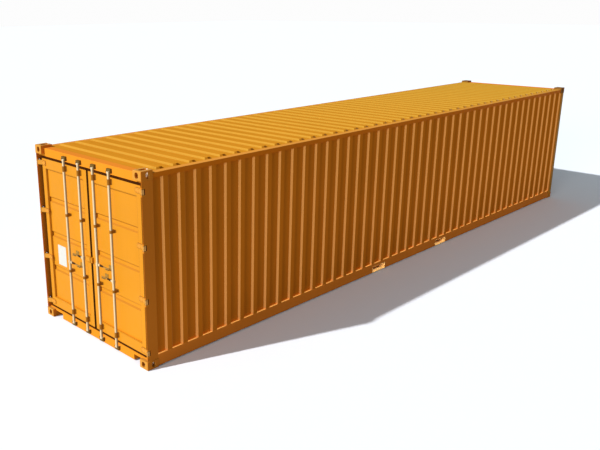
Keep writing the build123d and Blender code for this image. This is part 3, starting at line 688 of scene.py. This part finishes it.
GRIP = (
    (0.0605, 0.0052, 0.0162), (0.0620, 0.0060, 0.0172), (0.0760, 0.0064, 0.0172),
    (0.0930, 0.0086, 0.0148), (0.1120, 0.0112, 0.0118), (0.1310, 0.0112, 0.0114),
    (0.1350, 0.0106, 0.0108), (0.1362, 0.0093, 0.0094),
)
for hand, s in HANDS:
    for which in ("inner", "outer"):
        side = s if which == "inner" else -s
        y0 = s * BAR_Y[which]
        z0 = HANDLE_Z[which]
        stations = []
        for d, hx, hz in GRIP:
            # Squarish at the hub, and round further out
            power = 0.5 if d < 0.08 else 0.8 if d < 0.1 else 1.0
            ring = []
            for i in range(16):
                a = 2 * math.pi * i / 16
                cx, cz = math.cos(a), math.sin(a)
                x = math.copysign(abs(cx) ** power, cx) * hx
                z = math.copysign(abs(cz) ** power, cz) * hz
                ring.append((BAR_X + x, y0 + side * d, z0 + z))
            stations.append(ring)
        bm = bmesh.new()
        rings(bm, stations)
        piece(f"{hand}_{which}_grip", bm, "grip", f"{hand}_{which}_handle", True)

# Weld beads of the keepers, on sill and header

bm = bmesh.new()
for z, out in KEEPERS:
    near, far = z + out * 0.0195, z - out * 0.010
    cap_far = z + out * 0.0475
    for s in (-1, 1):
        for which in ("inner", "outer"):
            y = s * BAR_Y[which]
            across = [(FACE_X, y - CAP_HALF, cap_far), (FACE_X, y + CAP_HALF, cap_far)]
            bead(bm, across, (-1, 0, 0), (0, 0, out), THIN_BEAD)
            for e in (-1, 1):
                edge = y + e * KEEPER_HALF
                upright = [(FACE_X, edge, far), (FACE_X, edge, near)]
                bead(bm, upright, (-1, 0, 0), (0, e, 0), THIN_BEAD)
piece("keeper_welds", bm, "keeper", "container", True)

# Weld beads of the frame: walls to rails and roof, then posts and rails to castings

bm = bmesh.new()
for s in (-1, 1):
    recess, crest = s * (SKIN_Y - WAVE["depth"]), s * SKIN_Y
    line = [(-CASTING_X, recess)]
    for i in range(WAVE["count"]):
        x = WAVE["first"] + i * WAVE["pitch"]
        line += [(x, recess), (x + WAVE["run"], crest)]
        if i < WAVE["count"] - 1:
            back = x + WAVE["run"] + WAVE["crest"]
            line += [(back, crest), (back + WAVE["run"], recess)]
    line.append((FRONT_POST_X, crest))
    bead(bm, [(x, y, RAIL_TOP) for x, y in line], (0, s, 0), (0, 0, 1), SHEET_BEAD)
    bead(bm, [(x, y, WALL_TOP) for x, y in line], (0, s, 0), (0, 0, -1), SHEET_BEAD)
    seam = [(-CASTING_X, s * SEAM_Y, ROOF_Z), (CASTING_X, s * SEAM_Y, ROOF_Z)]
    bead(bm, seam, (0, s * 0.2, 0), (0, 0, 1), THIN_BEAD)


def weld(start, end, a, b):
    """A frame bead between two points."""
    bead(bm, [start, end], a, b, BEAD)


for z, up in zip(CASTING_Z, (1, -1)):
    for s in (-1, 1):
        edge = s * RAIL_Y
        weld((-POST_X, s * REAR_POST_Y, z), (-POST_X, edge, z), (-1, 0, 0), (0, 0, up))
        weld((-POST_X, edge, z), (-CASTING_X, edge, z), (0, s, 0), (0, 0, up))
        weld((FRONT_POST_X, edge, z), (POST_X, edge, z), (0, s, 0), (0, 0, up))
        weld((POST_X, s * FRONT_POST_Y, z), (POST_X, edge, z), (1, 0, 0), (0, 0, up))
sill_z, header_z = CASTING_Z
for s in (-1, 1):
    for end in (-1, 1):
        x = end * CASTING_X
        weld((x, s * RAIL_Y, UNDER_Z), (x, s * RAIL_Y, sill_z), (-end, 0, 0), (0, s, 0))
    x = -CASTING_X
    y = s * CASTING_Y
    weld((x, s * SEAM_Y, TOP_RAIL_Z), (x, s * SEAM_Y, ROOF_Z), (1, 0, 0), (0, s, 0))
    weld((FACE_X, y, header_z), (FACE_X, y, ROOF_Z), (0, -s, 0), (-1, 0, 0))
    weld((FACE_X, y, SILL_RECESS_Z), (FACE_X, y, sill_z), (0, -s, 0), (-1, 0, 0))
piece("frame_welds", bm, "weld", "container", True)


# Camera, fitted to the photograph's corners

EYE = Vector((-10.95309, -7.66421, 4.44020))
RIGHT = Vector((0.73040666, -0.68297658, -0.0070075))
DOWN = Vector((-0.19808927, -0.20200477, -0.9591427))
AHEAD = Vector((0.65365645, 0.70195232, -0.28283596))
FOCAL_PIXELS = 706.357
PHOTO_WIDTH = 600.0
SENSOR = 36.0
cam = bpy.data.objects.new("camera", bpy.data.cameras.new("camera"))
bpy.context.collection.objects.link(cam)
rot = Matrix((RIGHT, -DOWN, -AHEAD)).transposed()
cam.matrix_world = Matrix.Translation(EYE) @ rot.to_4x4()
cam.data.sensor_width = SENSOR
cam.data.lens = FOCAL_PIXELS / PHOTO_WIDTH * SENSOR
cam.data.shift_x = 0.1452
cam.data.shift_y = -0.0181
cam.data.clip_end = 400.0
bpy.context.scene.camera = cam


# Light, floor and background

def seen(tree):
    """1 for what the camera or a mirror-like surface sees."""
    path = tree.nodes.new("ShaderNodeLightPath")
    both = math_node(tree, "MAXIMUM", path.outputs["Is Camera Ray"], path.outputs["Is Glossy Ray"])
    return math_node(tree, "MAXIMUM", both, path.outputs["Is Transmission Ray"])


world = bpy.data.worlds.new("world")
bpy.context.scene.world = world
world.use_nodes = True
wt = world.node_tree
bg = wt.nodes["Background"]
bg.inputs["Color"].default_value = (0.93, 1.0, 1.04, 1)
bg.inputs["Strength"].default_value = 0.26
plain = wt.nodes.new("ShaderNodeBackground")
plain.inputs["Color"].default_value = (1, 1, 1, 1)
plain.inputs["Strength"].default_value = 0.98
choose = wt.nodes.new("ShaderNodeMixShader")
wt.links.new(seen(wt), choose.inputs["Fac"])
wt.links.new(bg.outputs[0], choose.inputs[1])
wt.links.new(plain.outputs[0], choose.inputs[2])
wt.links.new(choose.outputs[0], wt.nodes["World Output"].inputs["Surface"])


def sun(name, toward, strength, angle):
    """A distant lamp; the angle is the width of its disc in degrees."""
    lamp = bpy.data.objects.new(name, bpy.data.lights.new(name, "SUN"))
    bpy.context.collection.objects.link(lamp)
    lamp.data.energy = strength * math.pi
    lamp.data.angle = math.radians(angle)
    lamp.matrix_world = Vector(toward).to_track_quat("Z", "Y").to_matrix().to_4x4()
    return lamp


def group(name, nodes):
    """A collection of CAD nodes for a lamp to light or to be shaded by."""
    members = bpy.data.collections.new(name)
    for node in nodes:
        members.objects.link(NODES[node])
    return members


sun("key", (-0.75151, 0.26070, 0.60603), 1.16, 1.2)
sun("fill", (-0.960, -0.22, 0.12), 0.44, 20.0)

# Light that the photo shows in the pockets' mouths and on the near rail's ledge, in the wall's shadow

mouth = sun("mouth", (-0.30, -0.58, 0.757), 0.95, 4.0)
mouth.light_linking.receiver_collection = group("mouth_lit", ("fork_pockets",))
ledge = sun("ledge", (-0.05, -0.09, 0.99), 0.75, 2.0)
ledge.light_linking.receiver_collection = group("ledge_lit", ("right_bottom_rail",))
ledge.light_linking.blocker_collection = group("ledge_shading", ("right_side_wall", "roof"))

# The floor: darker to bounced light than it looks, so that it doesn't flood the object from below

GROUND_HALF = 150
ground_mesh = bpy.data.meshes.new("ground")
corners = [(x * GROUND_HALF, y * GROUND_HALF, 0) for x, y in ((-1, -1), (1, -1), (1, 1), (-1, 1))]
ground_mesh.from_pydata(corners, [], [(0, 1, 2, 3)])
ground = bpy.data.objects.new("ground", ground_mesh)
bpy.context.collection.objects.link(ground)
ground.location.z = -0.0005
gm, gt, gb = new_material("ground_white")
tone = mix(gt, seen(gt), (0.42, 0.42, 0.42), (0.983, 1.035, 1.105))
gt.links.new(tone, gb.inputs["Base Color"])
gb.inputs["Roughness"].default_value = 1.0
gb.inputs["Specular IOR Level"].default_value = 0.0
ground_mesh.materials.append(gm)

bpy.context.scene.view_settings.view_transform = "Standard"
